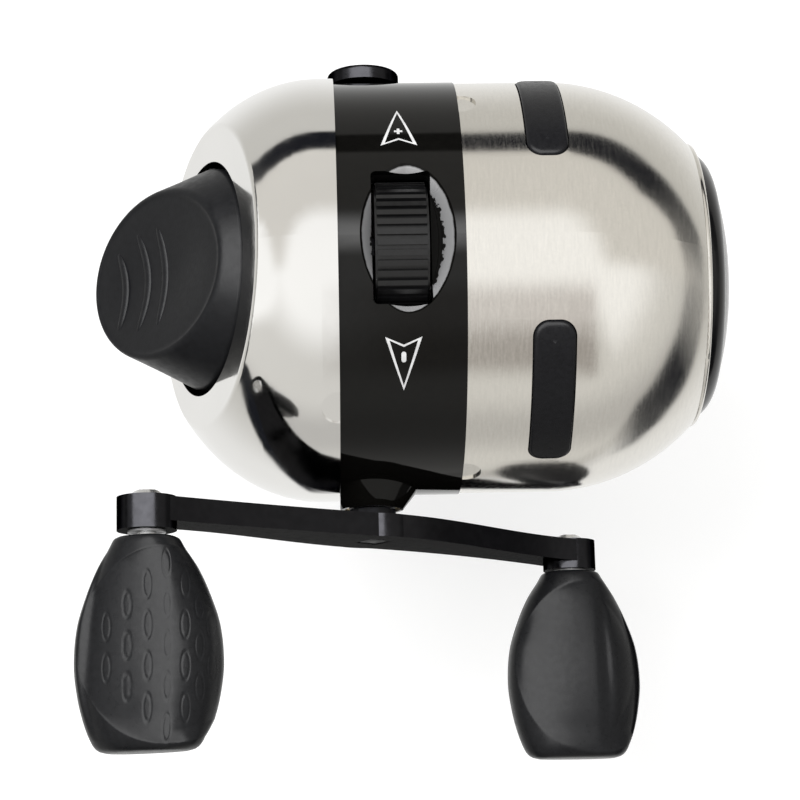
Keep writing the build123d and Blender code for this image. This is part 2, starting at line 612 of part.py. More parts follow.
with BuildPart() as head_nut:
    with BuildSketch(along(38.0)) as hex_outline:
        RegularPolygon(3.2, 6)
        Circle(SHAFT_R, mode=Mode.SUBTRACT)
    extrude(hex_outline.sketch, amount=2.2)

# ---------------------------------------------------------------- foot

with BuildPart() as reel_foot:
    length, width, thick = FOOT
    with BuildSketch(Plane.XZ):
        with BuildLine():
            Polyline((-length / 2, 0), (length / 2, 0), (length / 2, 1.1), (14, thick), (-14, thick),
                     (-length / 2, 1.1), close=True)
        make_face()
    extrude(amount=width / 2, both=True)
    ends = edges().filter_by(Axis.Z).group_by(Axis.X)
    fillet(ends[0] + ends[-1], radius=5.0)
    with BuildSketch(Plane.XY.offset(1.5)) as stem_root:
        RectangleRounded(18.0, 9.5, 3)
    with BuildSketch(Plane.XY.offset(13.0)) as stem_top:
        RectangleRounded(17.6, 11.5, 3)
    loft([stem_root.sketch, stem_top.sketch])
    rod(along(-20), BAND_R, 40, mode=Mode.SUBTRACT)
    for x in (-FOOT_SCREW_X, FOOT_SCREW_X):
        rod(Plane.XY.offset(4.5).shift_origin((x, 0, 4.5)), 1.2, 10, mode=Mode.SUBTRACT)

with BuildPart() as foot_screws:
    for x in (-FOOT_SCREW_X, FOOT_SCREW_X):
        rod(Plane.XY.offset(4.6).shift_origin((x, 0, 4.6)), 1.2, 7.0)
        rod(Plane.XY.offset(11.55).shift_origin((x, 0, 11.55)), 2.2, 1.4)

pieces = {
    "main_body": main_body, "crank_bushings": crank_bushings, "center_hub": center_hub,
    "hub_screws": hub_screws, "pinion_bushing": pinion_bushing, "front_cover": front_cover,
    **grip_pads,
    "nose_ring": nose_ring, "line_guide": line_guide, "rear_cover": rear_cover,
    "thumb_button": thumb_button, "push_yoke": push_yoke, "drag_wheel": drag_wheel,
    "drag_screw": drag_screw, "drag_pad": drag_pad, "drag_washer": drag_washer, "spool": spool,
    "spool_washer": spool_washer, "spool_nut": spool_nut, "drive_gear": drive_gear,
    "pinion_gear": pinion_gear, "clutch_sleeve": clutch_sleeve, "clutch_race": clutch_race,
    "clutch_rollers": clutch_rollers, "clutch_cage": clutch_cage, "crank_shaft": crank_shaft,
    "handle_cap": handle_cap, "crank_arm": crank_arm,
    **knobs, **knob_caps,
    "knob_rivets": knob_rivets, "knob_washers": knob_washers, "center_shaft": center_shaft,
    "spring_clip": spring_clip, "main_spring": main_spring, "spinner_head": spinner_head,
    "pickup_pin": pickup_pin, "head_nut": head_nut, "reel_foot": reel_foot,
    "foot_screws": foot_screws,
}
for name, piece in pieces.items():
    piece.part.label = name
    export_step(piece.part, f"parts/{name}.step")
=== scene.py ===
import json
from math import cos, pi, radians, sin, sqrt

import bmesh
import bpy
from mathutils import Matrix, Vector


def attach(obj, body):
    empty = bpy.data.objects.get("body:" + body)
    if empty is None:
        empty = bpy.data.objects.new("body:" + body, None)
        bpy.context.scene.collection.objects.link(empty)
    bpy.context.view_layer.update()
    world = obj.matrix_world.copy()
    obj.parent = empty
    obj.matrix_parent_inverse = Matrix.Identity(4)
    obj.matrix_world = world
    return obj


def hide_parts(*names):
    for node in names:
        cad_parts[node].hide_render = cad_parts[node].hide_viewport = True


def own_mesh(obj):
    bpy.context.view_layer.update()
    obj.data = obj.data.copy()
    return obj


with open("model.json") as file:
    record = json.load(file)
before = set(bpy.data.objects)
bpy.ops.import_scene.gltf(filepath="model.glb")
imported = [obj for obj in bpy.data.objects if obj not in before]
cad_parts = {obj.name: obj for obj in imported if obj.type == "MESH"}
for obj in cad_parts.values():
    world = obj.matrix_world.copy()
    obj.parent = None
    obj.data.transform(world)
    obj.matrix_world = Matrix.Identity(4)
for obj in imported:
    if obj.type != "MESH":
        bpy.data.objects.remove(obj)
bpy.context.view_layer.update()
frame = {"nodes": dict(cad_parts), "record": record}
nodes = frame["nodes"]
record = frame["record"]

MM = 0.001
AXIS_Z = 0.042  # height of the reel's axis, in metres
AXIS = Vector((0, 0, AXIS_Z / MM))  # mesh code works in millimetres
WHITE = (1.0, 1.0, 1.0)
palette = {m["slot"]: tuple(m["base_color"]) for m in record["materials"]}


# ---------------------------------------------------------------- node helpers

class Tree:
    """A node tree, with a short call for each kind of node used here."""

    def __init__(self, tree):
        self.tree = tree

    def node(self, kind, **values):
        n = self.tree.nodes.new(kind)
        for key, value in values.items():
            setattr(n, key, value)
        return n

    def feed(self, socket, value):
        """Links another node's output to a socket, or sets its number or colour."""
        if isinstance(value, bpy.types.NodeSocket):
            self.tree.links.new(value, socket)
        elif isinstance(value, tuple):
            socket.default_value = value[:3] + (1.0,)
        else:
            socket.default_value = value

    def math(self, operation, a, b=None):
        n = self.node("ShaderNodeMath", operation=operation)
        self.feed(n.inputs[0], a)
        if b is not None:
            self.feed(n.inputs[1], b)
        return n.outputs[0]

    def times(self, first, *others):
        for other in others:
            first = self.math("MULTIPLY", first, other)
        return first

    def less_one(self, value):
        return self.math("SUBTRACT", 1.0, value)

    def offset(self, value, centre):
        """How far a value is from a centre, either way."""
        return self.math("ABSOLUTE", self.math("SUBTRACT", value, centre))

    def step(self, value, start, end, low=0.0, high=1.0):
        """A smooth step from low to high as the value goes from start to end."""
        n = self.node("ShaderNodeMapRange", interpolation_type="SMOOTHSTEP")
        self.feed(n.inputs["Value"], value)
        for key, number in (("From Min", start), ("From Max", end), ("To Min", low), ("To Max", high)):
            n.inputs[key].default_value = number
        return n.outputs["Result"]

    def mix(self, factor, a, b):
        n = self.node("ShaderNodeMix", data_type="RGBA")
        for i, value in ((0, factor), (6, a), (7, b)):
            self.feed(n.inputs[i], value)
        return n.outputs[2]

    def mix_number(self, factor, a, b):
        n = self.node("ShaderNodeMix", data_type="FLOAT")
        for i, value in ((0, factor), (2, a), (3, b)):
            self.feed(n.inputs[i], value)
        return n.outputs[0]

    def split(self, vector):
        n = self.node("ShaderNodeSeparateXYZ")
        self.feed(n.inputs[0], vector)
        return n.outputs


class Mat(Tree):
    """A material with a principled shader, and object coordinates at hand."""

    def __init__(self, name, color, rough, metal=0.0, sockets=None):
        self.material = bpy.data.materials.new(name)
        self.material.use_nodes = True
        super().__init__(self.material.node_tree)
        self.bsdf = self.tree.nodes["Principled BSDF"]
        self.set("Base Color", color)
        self.set("Roughness", rough)
        self.set("Metallic", metal)
        for key, value in (sockets or {}).items():
            self.set(key, value)
        self.place = self.node("ShaderNodeTexCoord").outputs

    def set(self, key, value):
        self.feed(self.bsdf.inputs[key], value)

    def linked(self, key):
        """What feeds one of the shader's sockets now."""
        return self.bsdf.inputs[key].links[0].from_socket

    def noise(self, scale, detail, rough=0.5, vector=None):
        n = self.node("ShaderNodeTexNoise")
        self.feed(n.inputs["Vector"], vector or self.place["Object"])
        for key, number in (("Scale", scale), ("Detail", detail), ("Roughness", rough)):
            n.inputs[key].default_value = number
        return n.outputs["Fac"]

    def wave(self, scale, detail, size):
        """Noise round zero, of a size in metres."""
        return self.times(self.math("SUBTRACT", self.noise(scale, detail), 0.5), size)

    def rough(self, noise, low, high, start=0.35, end=0.65):
        self.set("Roughness", self.step(noise, start, end, low, high))

    def tint(self, noise, low, high, start=0.35, end=0.65):
        n = self.node("ShaderNodeValToRGB")
        for stop, position, color in zip(n.color_ramp.elements, (start, end), (low, high)):
            stop.position = position
            stop.color = color + (1.0,)
        self.feed(n.inputs["Fac"], noise)
        self.set("Base Color", n.outputs["Color"])

    def bump(self, noise, strength, distance):
        n = self.node("ShaderNodeBump")
        self.feed(n.inputs["Height"], noise)
        n.inputs["Strength"].default_value = strength
        n.inputs["Distance"].default_value = distance
        self.set("Normal", n.outputs["Normal"])

    def around_axis(self, along, around):
        """Coordinates for brushing round the reel's axis: fine along X, long round it."""
        x, y, z = self.split(self.place["Object"])
        angle = self.math("ARCTAN2", y, self.math("SUBTRACT", z, AXIS_Z))
        n = self.node("ShaderNodeCombineXYZ")
        self.feed(n.inputs[0], self.times(x, along))
        self.feed(n.inputs[1], self.times(angle, around))
        return n.outputs[0]


def shade(color, k):
    return tuple(min(1.0, v * k) for v in color)


# ---------------------------------------------------------------- materials

# For each kind of surface: is it metal; then the noise (scale, detail, roughness) and the range
# that it drives, as parts of the roughness and of the colour; then the bump's noise, strength, depth
KINDS = {
    "gloss": (0.0, (700, 4, 0.6), (0.8, 1.4), (900, 3), (0.92, 1.1), (380, 2), (0.03, 0.0001)),
    "moulded": (0.0, (900, 4, 0.6), (0.88, 1.15), (1100, 4), (0.88, 1.14), (2600, 2), (0.2, 0.00005)),
    "rubber": (0.0, (1100, 4, 0.6), (0.9, 1.15), (1400, 4), (0.88, 1.15), (3200, 2), (0.12, 0.00003)),
    "blackened": (1.0, (900, 4, 0.6), (0.85, 1.25), (700, 3), (0.92, 1.1), (1500, 2), (0.06, 0.00004)),
    "chrome": (1.0, (160, 5, 0.6), (0.7, 1.8), (40, 3), (0.97, 1.03), (55, 2), (0.05, 0.0004)),
    "cast": (1.0, (700, 4), (0.8, 1.25), (200, 4), (0.88, 1.08), (1500, 3), (0.2, 0.00005)),
}
SPECULAR = "Specular IOR Level"
BLACKENED = (0.02, 0.02, 0.022)
DARK_EDGES = {"Specular Tint": (0.05, 0.05, 0.05)}  # blackened metal is as dark at its edges

# Slot: kind, roughness, colour (or the record's), sockets that differ from the shader's own
SURFACES = {
    "band_gloss_black": ("gloss", 0.05, (0.0036, 0.0034, 0.003), {SPECULAR: 0.45, "IOR": 1.32}),
    "polished_chrome": ("chrome", 0.06, None, {}),
    "nose_gloss_black": ("gloss", 0.12, (0.0045, 0.0046, 0.005), {SPECULAR: 0.45, "IOR": 1.35}),
    "guide_steel": ("chrome", 0.1, None, {}),
    "pad_rubber": ("rubber", 0.28, (0.0035, 0.0035, 0.004), {SPECULAR: 0.12}),
    "button_matte_black": ("moulded", 0.36, (0.0034, 0.0035, 0.004), {SPECULAR: 0.14}),
    "wheel_black": ("moulded", 0.32, (0.006, 0.006, 0.0065), {SPECULAR: 0.5}),
    "arm_gloss_black": ("blackened", 0.2, BLACKENED, DARK_EDGES),
    "knob_soft_black": ("rubber", 0.3, (0.0042, 0.0043, 0.0047), {SPECULAR: 0.12}),
    "cap_black": ("blackened", 0.22, BLACKENED, DARK_EDGES),
    "foot_black_metal": ("moulded", 0.35, (0.007, 0.007, 0.008), {SPECULAR: 0.45}),
    "rivet_silver": ("cast", 0.25, None, {}),
    "steel_fasteners": ("cast", 0.35, None, {}),
    "steel_turned": ("cast", 0.28, None, {"Specular Tint": (0.4, 0.4, 0.4)}),
    "spring_steel": ("cast", 0.3, None, {}),
    "gear_alloy": ("cast", 0.45, None, {}),
    "die_cast_alloy": ("cast", 0.45, None, {}),
    "bushing_brass": ("cast", 0.3, None, {}),
    "cage_nylon": ("moulded", 0.5, None, {SPECULAR: 0.35}),
    "spool_plastic": ("moulded", 0.4, None, {SPECULAR: 0.35}),
}


def surface(slot, kind, rough, color, sockets):
    metal, dull_noise, dull, tint_noise, tint, bump_noise, bump = KINDS[kind]
    color = color or palette[slot]
    m = Mat(slot, color, rough, metal, sockets)
    m.rough(m.noise(*dull_noise), rough * dull[0], rough * dull[1])
    m.tint(m.noise(*tint_noise), shade(color, tint[0]), shade(color, tint[1]))
    m.bump(m.noise(*bump_noise), *bump)
    return m


def brushed(slot, color, rough):
    """Metal brushed round the reel's axis, with fine speckle."""
    m = Mat(slot, color, rough, 1.0)
    lines = m.noise(1.0, 5, 0.65, vector=m.around_axis(along=2600, around=10.0))
    mixed = m.math("ADD", m.times(lines, 0.65), m.times(m.noise(2600, 3, 0.6), 0.35))
    m.rough(mixed, rough * 0.75, rough * 1.3, 0.3, 0.7)
    m.tint(mixed, shade(color, 0.94), shade(color, 1.06), 0.3, 0.7)
    m.bump(mixed, 0.12, 0.00004)
    return m


# In metres. Where a pair is given, the change runs from the first value to the second
SHAFT_OUT = (-0.0354, -0.035)        # Y where the crank shaft comes out of the reel
SCREW_OVER, SCREW_BEFORE = 0.06, 0.012  # the drag screw is over this Z and before this X
WELL_SLOPE = (0.0308, 0.0310)        # radius where the scoop's bare slope starts
WELL_PAINT = (0.0324, 0.0327)        # radius where paint covers it again
WELL_OVER = (0.066, 0.067)           # Z over which the scoop lies
WELL_X, WELL_HALF = 0.0009, (0.0078, 0.0080)
WELL_UP = (0.45, 0.7)                # upward part of the normal, which leaves out the walls
BARE_METAL = (0.56, 0.56, 0.57)


def blacken_shaft_end(m):
    """Black where the crank shaft comes out of the reel; the drag screw, which is high, stays bare."""
    x, y, z = m.split(m.place["Object"])
    inside = m.step(y, *SHAFT_OUT)
    screw = m.times(m.math("GREATER_THAN", z, SCREW_OVER), m.math("LESS_THAN", x, SCREW_BEFORE))
    bare = m.times(inside, m.less_one(screw))
    m.set("Base Color", m.mix(bare, BLACKENED, m.linked("Base Color")))


def polish_scoop(m):
    """Bare metal on the slopes of the scoop round the drag wheel, and a dull floor in it."""
    x, y, z = m.split(m.place["Object"])
    up = m.math("SUBTRACT", z, AXIS_Z)
    radius = m.math("SQRT", m.math("ADD", m.times(y, y), m.times(up, up)))
    radius = m.math("ADD", radius, m.wave(450, 3, 0.0004))
    slope = m.step(m.math("ADD", radius, m.wave(1100, 2, 0.002)), *WELL_SLOPE)
    below_paint = m.step(radius, *WELL_PAINT, 1.0, 0.0)
    width = m.step(m.offset(x, WELL_X), *WELL_HALF, 1.0, 0.0)
    near_wheel = m.times(m.step(z, *WELL_OVER), width)
    facing_up = m.step(m.split(m.place["Normal"])[2], *WELL_UP)
    bare = m.times(slope, near_wheel, below_paint, facing_up)
    floor = m.times(m.less_one(slope), near_wheel)
    m.set("Metallic", m.times(bare, 0.6))
    m.set("Base Color", m.mix(bare, m.linked("Base Color"), BARE_METAL))
    satin = m.mix_number(bare, m.linked("Roughness"), 0.3)
    m.set("Roughness", m.mix_number(floor, satin, 0.9))


finish = {slot: surface(slot, *row) for slot, row in SURFACES.items()}
STAINLESS = "brushed_stainless"
finish[STAINLESS] = brushed(STAINLESS, shade(palette[STAINLESS], 1.15), 0.14)
blacken_shaft_end(finish["steel_turned"])
polish_scoop(finish["band_gloss_black"])
for part in record["subparts"]:
    mesh = nodes[part["node"]].data
    mesh.materials.clear()
    mesh.materials.append(finish[part["material_slot"]].material)

ink = Mat("mark_white", (0.72, 0.72, 0.72), 0.45)
ink.rough(ink.noise(1500, 3), 0.38, 0.55)
ink.tint(ink.noise(900, 4), (0.62, 0.62, 0.62), (0.78, 0.78, 0.78))


# ---------------------------------------------------------------- mesh helpers

def add_object(name, data):
    o = bpy.data.objects.new(name, data)
    bpy.context.scene.collection.objects.link(o)
    return o


def piece(name, bm, mat, body, smooth=True):
    """An object of the mesh, which rides on a CAD body."""
    mesh = bpy.data.meshes.new(name)
    bmesh.ops.recalc_face_normals(bm, faces=bm.faces)
    bm.to_mesh(mesh)
    bm.free()
    for p in mesh.polygons:
        p.use_smooth = smooth
    mesh.materials.append(mat.material)
    o = add_object(name, mesh)
    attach(o, body)
    return o


def body_of(node):
    return next(b for b, members in record["behaviour"]["bodies"].items() if node in members)


def join(bm, a, b):
    """Quads between two closed rows of vertices."""
    n = len(a)
    for i in range(n):
        j = (i + 1) % n
        bm.faces.new((a[i], a[j], b[j], b[i]))


def raised_ring(bm, outer, inner, place, thick):
    """A flat ring between two outlines of equal length, placed by place(u, v, height)."""
    rows = []
    for outline, height in ((outer, 0.0), (outer, thick), (inner, thick), (inner, 0.0)):
        rows.append([bm.verts.new(place(u, v, height)) for u, v in outline])
    for k in range(4):
        join(bm, rows[k], rows[(k + 1) % 4])


def raised_shape(bm, outline, place, thick):
    """A filled flat shape, placed by place(u, v, height)."""
    low = [bm.verts.new(place(u, v, 0.0)) for u, v in outline]
    high = [bm.verts.new(place(u, v, thick)) for u, v in outline]
    bm.faces.new(high)
    bm.faces.new(list(reversed(low)))
    join(bm, low, high)


def rows_to_mesh(bm, rows, cap_start=True, cap_end=True):
    """Closed rows of points in mm joined by quads; a capped end is filled from its middle."""
    made = [[bm.verts.new(p * MM) for p in row] for row in rows]
    for a, b in zip(made, made[1:]):
        join(bm, a, b)
    for row, wanted in ((made[0], cap_start), (made[-1], cap_end)):
        if wanted:
            n = len(row)
            hub = bm.verts.new(sum((v.co for v in row), Vector()) / n)
            for i in range(n):
                bm.faces.new((row[i], row[(i + 1) % n], hub))
    return made


def smooth_step(x):
    x = max(0.0, min(1.0, x))
    return x * x * (3 - 2 * x)


def turns(count):
    """Angles evenly round a circle."""
    return [2 * pi * i / count for i in range(count)]


# ---------------------------------------------------------------- arrows beside the drag wheel

BAND_R = 33.0
DEGREE = pi * BAND_R / 180  # mm round the band
CLEAR, INK = 0.01, 0.02     # gap under the ink, and its thickness
# Degrees from the top of the band, and half the arrow's width in mm
ARROW_TIP, ARROW_BASE, ARROW_NOTCH, MARK_AT = 41.3, 26.5, 28.6, 31.9
ARROW_HALF = 2.75
ARROW_LEAN = 2.4            # how much nearer the outline's middle is to the notch than to the tip
INNER = (0.77, 0.84)        # the inner outline's size, across and along the band
STEPS = 12                  # pieces per side, so that it follows the curve
PLUS_HALF, PLUS_REACH = 0.2, 0.62      # half width and half length of its bars, in mm
MINUS_HALF, MINUS_REACH = 0.36, 0.84


def on_band(sign):
    def place(u, v, height):
        """u along X and v mm round the band from the top, towards sign * Y."""
        r = BAND_R + CLEAR + height
        a = v / BAND_R
        return Vector((u * MM, sign * r * sin(a) * MM, AXIS_Z + r * cos(a) * MM))
    return place


def divided(outline):
    """The outline with each side divided, so that it can follow the curved band."""
    out = []
    for i, (u, v) in enumerate(outline):
        s, t = outline[(i + 1) % len(outline)]
        out += [(u + (s - u) * k / STEPS, v + (t - v) * k / STEPS) for k in range(STEPS)]
    return out


def plus_outline():
    half, reach = PLUS_HALF, PLUS_REACH
    quarter = [(half, half), (half, reach), (-half, reach)]
    out = []
    for _ in range(4):
        out += quarter
        quarter = [(-v, u) for u, v in quarter]
    return out


def minus_outline():
    """A short bar along the arrow, round at both ends."""
    half, reach = MINUS_HALF, MINUS_REACH
    arc = [(cos(a * pi / 6), sin(a * pi / 6)) for a in range(7)]
    end = [(half * c, reach - half + half * s) for c, s in arc]
    return end + [(-u, -v) for u, v in end]


for sign, label, mark in ((1, "plus", plus_outline()), (-1, "minus", minus_outline())):
    bm = bmesh.new()
    outer = [(0, ARROW_TIP * DEGREE), (ARROW_HALF, ARROW_BASE * DEGREE), (0, ARROW_NOTCH * DEGREE),
             (-ARROW_HALF, ARROW_BASE * DEGREE)]
    centre = (ARROW_TIP + ARROW_LEAN * ARROW_NOTCH) / (1 + ARROW_LEAN) * DEGREE
    inner = [(u * INNER[0], centre + (v - centre) * INNER[1]) for u, v in outer]
    raised_ring(bm, divided(outer), divided(inner), on_band(sign), INK)
    raised_shape(bm, [(u, MARK_AT * DEGREE + v) for u, v in mark], on_band(sign), INK)
    piece(f"drag_arrow_{label}", bm, ink, "root", smooth=False)


# ---------------------------------------------------------------- thumb button

class Slant:
    """A plane that faces back and up: v runs down it, and w is the height over it."""

    def __init__(self, x, h, tilt):
        t = radians(tilt)
        self.origin = AXIS + Vector((x, 0, h))
        self.normal = Vector((-cos(t), 0, sin(t)))
        self.down = Vector((-sin(t), 0, -cos(t)))

    def at(self, u, v, w=0.0):
        return self.origin + Vector((0, u, 0)) + self.down * v + self.normal * w


OPENING = Slant(-30.1, 8.6, 20.5)   # the button's foot, in the rear cover's opening
FACE = Slant(-37.5, 12.2, 41.0)
BUTTON_R = 17.35
SKIRT = -1.85                       # how far the foot reaches into the opening
FACE_U, FACE_V = 13.15, 16.05       # half width and half height of the face
WALL_STEPS = (0.08, 0.25, 0.45, 0.65, 0.83)
EDGE, EDGE_INSET, EDGE_STEPS = 0.75, 0.55, 8  # the rounded edge, down the wall and in on the face
LIP = ((0.75, -0.02), (0.9, -0.1))  # inset and height of the rows between edge and dish
DISH_LIP, DISH_DEPTH, DISH_RUN = -0.12, 1.0, 13
DISH_INSETS = (1.4, 2.2, 3.2, 4.5, 6.0, 7.5, 9.0, 10.5, 12.0)
rim_angles = turns(192)


def dish(inset):
    """Height of the dished thumb face at a distance from its edge."""
    return DISH_LIP - DISH_DEPTH * smooth_step(inset / DISH_RUN)


def foot_row(w=0.0):
    return [OPENING.at(BUTTON_R * cos(a), BUTTON_R * sin(a), w) for a in rim_angles]


def face_row(inset, w):
    return [FACE.at((FACE_U - inset) * cos(a), (FACE_V - inset) * sin(a), w) for a in rim_angles]


foot, edge, face_edge = foot_row(), face_row(0.0, 0.0), face_row(EDGE_INSET, 0.0)
wall_end = [q + (p - q) * min(0.4, EDGE / (p - q).length) for p, q in zip(foot, edge)]
rows = [foot_row(SKIRT), foot]
rows += [[p.lerp(q, t) for p, q in zip(foot, wall_end)] for t in WALL_STEPS]
for t in (k / EDGE_STEPS for k in range(EDGE_STEPS + 1)):
    rows.append([p * (1 - t) ** 2 + q * 2 * t * (1 - t) + r * t * t
                 for p, q, r in zip(wall_end, edge, face_edge)])
rows += [face_row(inset, w) for inset, w in LIP]
rows += [face_row(inset, dish(inset)) for inset in DISH_INSETS]
bm = bmesh.new()
rows_to_mesh(bm, rows, cap_start=False)
button = piece("thumb_button_shell", bm, finish["button_matte_black"], "button")
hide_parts("thumb_button")

# Three curved thumb ribs: middle down and across the face, half length, and how far the ends turn down
RIBS = ((8.6, -0.9, 6.4, 1.5), (3.4, -0.3, 8.0, 1.9), (-0.9, -0.2, 8.0, 1.3))
RIB_HALF, RIB_HEIGHT, RIB_SUNK = 0.85, 0.42, 0.12


def rib_row(v_mid, u_mid, reach, bulge, t):
    """A ring round a rib, at t from -1 to 1 along it; the rib thins out to its ends."""
    u = u_mid + reach * t
    v = v_mid + bulge * t * t
    size = sqrt(max(0.0, 1 - t ** 4)) + 0.02
    inset = FACE_U * (1 - sqrt(min(1.0, (u / FACE_U) ** 2 + (v / FACE_V) ** 2)))
    w = dish(inset) - RIB_SUNK
    return [FACE.at(u, v + RIB_HALF * size * cos(a), w + RIB_HEIGHT * size * sin(a)) for a in turns(16)]


for number, shape in enumerate(RIBS, start=1):
    bm = bmesh.new()
    rows_to_mesh(bm, [rib_row(*shape, -1 + k / 30) for k in range(61)])
    rib = piece(f"thumb_rib_{number}", bm, finish["button_matte_black"], "button")

# ---------------------------------------------------------------- crank knobs

# X, Z and Y of the middle of each knob's inner end in mm, and its turn in degrees
KNOB_AT = {"rear": (-38.05, 68.29, -43.4, 27.0), "front": (29.25, 15.71, -42.75, -8.0)}
# Distance from the inner end, half width and half thickness
KNOB_PROFILE = ((0.0, 4.2, 3.8), (0.25, 4.7, 4.25), (1.2, 5.3, 4.55), (4.5, 7.4, 5.0),
                (8.5, 9.2, 5.5), (13.0, 10.6, 6.05), (18.5, 11.05, 6.25), (23.0, 10.55, 6.0),
                (26.5, 9.75, 5.45), (29.0, 8.85, 4.95), (30.1, 8.2, 4.5), (30.7, 7.4, 4.0),
                (30.95, 6.4, 3.3))
KNOB_INNER = (0.0, 0.1, 0.25, 0.5, 0.8, 1.2)
KNOB_OUTER = (30.1, 30.4, 30.7, 30.85, 30.95)
BOXY = 0.86                     # under 1, the knob's section is fuller than an ellipse
SCOOP_FACING = (-0.17, 0.985)   # X and Z of the way that the thumb scoop faces
SCOOP_AT, SCOOP_HALF = (3.2, 16.0), (13.2, 14.2)  # across and along the knob
SCOOP_DEPTH = 1.5
RIDGE_AT, RIDGE = 3.3, 0.34     # past this ridge the scoop falls away
# Grip ovals, in columns along the knob: x, distance of the first one, and how many
OVAL_COLUMNS = ((-5.75, 13.2, 2), (-2.75, 10.2, 3), (0.2, 7.4, 4), (3.0, 4.5, 5), (5.45, 7.5, 4),
                (7.3, 10.5, 3), (8.9, 13.4, 2))
OVAL_PITCH = 5.87
OVALS = [(x, first + OVAL_PITCH * k) for x, first, count in OVAL_COLUMNS for k in range(count)]
OVAL_HALF, OVAL_RIM, OVAL_HEIGHT = (0.55, 1.9), 0.3, 0.07


def between(table, x):
    """Catmull-Rom interpolation of the rows of a table by its first column."""
    last = len(table) - 1
    i = next((k for k in range(last) if x <= table[k + 1][0]), last - 1)
    p0, p1, p2, p3 = table[max(0, i - 1)], table[i], table[i + 1], table[min(last, i + 2)]
    span = p2[0] - p1[0]
    t = (x - p1[0]) / span
    out = []
    for c in range(1, len(p1)):
        m1 = (p2[c] - p0[c]) / (p2[0] - p0[0]) * span
        m2 = (p3[c] - p1[c]) / (p3[0] - p1[0]) * span
        out.append((2 * t ** 3 - 3 * t ** 2 + 1) * p1[c] + (t ** 3 - 2 * t ** 2 + t) * m1
                   + (3 * t ** 2 - 2 * t ** 3) * p2[c] + (t ** 3 - t ** 2) * m2)
    return out


def scoop_depth(x, s, ridge):
    """How far the thumb scoop lies below the knob's plain outline, at x across and s along it."""
    inside = 1 - ((x - SCOOP_AT[0]) / SCOOP_HALF[0]) ** 2 - ((s - SCOOP_AT[1]) / SCOOP_HALF[1]) ** 2
    if inside <= 0:
        return 0.0
    beyond = max(0.0, x - RIDGE_AT)
    fall = beyond * beyond / (beyond + 0.5) * min(1.0, inside * 4)
    return SCOOP_DEPTH * inside ** 0.7 + ridge * fall


def oval_rim(x, s):
    """Height of the raised rims of the grip ovals."""
    best = 0.0
    for u, v in OVALS:
        d = sqrt(((x - u) / OVAL_HALF[0]) ** 2 + ((s - v) / OVAL_HALF[1]) ** 2)
        if d < 1.6:
            rim = max(0.0, 1 - abs(d - 1.0) / OVAL_RIM)
            best = max(best, OVAL_HEIGHT * rim * rim * (3 - 2 * rim))
    return best


def knob_point(s, a, b, angle, turn, patterned):
    """X and Z from the knob's axis, at s along it: a plain outline less both thumb scoops."""
    c, d = cos(angle), sin(angle)
    p = a * abs(c) ** BOXY * (1 if c >= 0 else -1)
    q = b * abs(d) ** BOXY * (1 if d >= 0 else -1)
    x = p * cos(turn) - q * sin(turn)
    z = p * sin(turn) + q * cos(turn)
    # One scoop faces up; its twin is turned half way round the knob and has no ridge
    for side, ridge in ((1, RIDGE), (-1, 0.0)):
        nx, nz = SCOOP_FACING[0] * side, SCOOP_FACING[1] * side
        facing = (x * nx + z * nz) / b + 0.45
        if facing > 0:
            depth = scoop_depth(x * side, s, ridge) * smooth_step(facing / 0.3)
            if patterned and facing > 0.4:
                depth += oval_rim(x * side, s)
            x -= nx * depth
            z -= nz * depth
    return x, z


def knob(name, end, along_steps, around_steps, patterned):
    x0, z0, y0, turn = KNOB_AT[end]
    start, stop = KNOB_INNER[-1], KNOB_OUTER[0]
    middle_steps = [start + (stop - start) * k / along_steps for k in range(1, along_steps)]
    rows = []
    for s in (*KNOB_INNER, *middle_steps, *KNOB_OUTER):
        a, b = between(KNOB_PROFILE, s)
        points = [knob_point(s, a, b, angle, radians(turn), patterned) for angle in turns(around_steps)]
        rows.append([Vector((x0 + x, y0 - s, z0 + z)) for x, z in points])
    bm = bmesh.new()
    rows_to_mesh(bm, rows)
    o = piece(name, bm, finish["knob_soft_black"], f"{end}_grip")
    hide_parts(f"knob_{end}")


knob("crank_knob_rear", "rear", 210, 420, True)
knob("crank_knob_front", "front", 90, 160, False)

# ---------------------------------------------------------------- return spring

COILS, COIL_STEPS = 6, 32
SPRING_START, SPRING_LENGTH = 17.2, 14.4
COIL_R, WIRE_R = 2.75, 0.3
WIRE_STEPS = 12

rows = []
for t in (k / COIL_STEPS for k in range(COILS * COIL_STEPS + 1)):
    a = 2 * pi * t
    x = SPRING_START + SPRING_LENGTH * t / COILS
    centre = AXIS + Vector((x, COIL_R * cos(a), COIL_R * sin(a)))
    outward = Vector((0, cos(a), sin(a)))
    rows.append([centre + outward * (WIRE_R * cos(b)) + Vector((WIRE_R * sin(b), 0, 0))
                 for b in turns(WIRE_STEPS)])
bm = bmesh.new()
rows_to_mesh(bm, rows)
spring = piece("return_spring_coil", bm, finish["spring_steel"], body_of("main_spring"))
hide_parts("main_spring")
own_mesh(spring)

# ---------------------------------------------------------------- grip pads

COVER_R = 32.8
PAD_X = 22.4
PAD_HALF = (3.12, 12.27)
PAD_CORNER = 2.28
PAD_ANGLES = (45, -45, 135, -135)  # degrees from the top, towards +Y
# Inset from the pad's outline, and height over the cover
PAD_SECTION = ((0.0, -0.5), (0.0, 0.02), (0.04, 0.16), (0.12, 0.27), (0.24, 0.34), (0.42, 0.385),
               (0.7, 0.395), (1.1, 0.39), (1.7, 0.385), (2.4, 0.385), (3.0, 0.385))
corner_angles = [t * pi / 16 for t in range(9)]


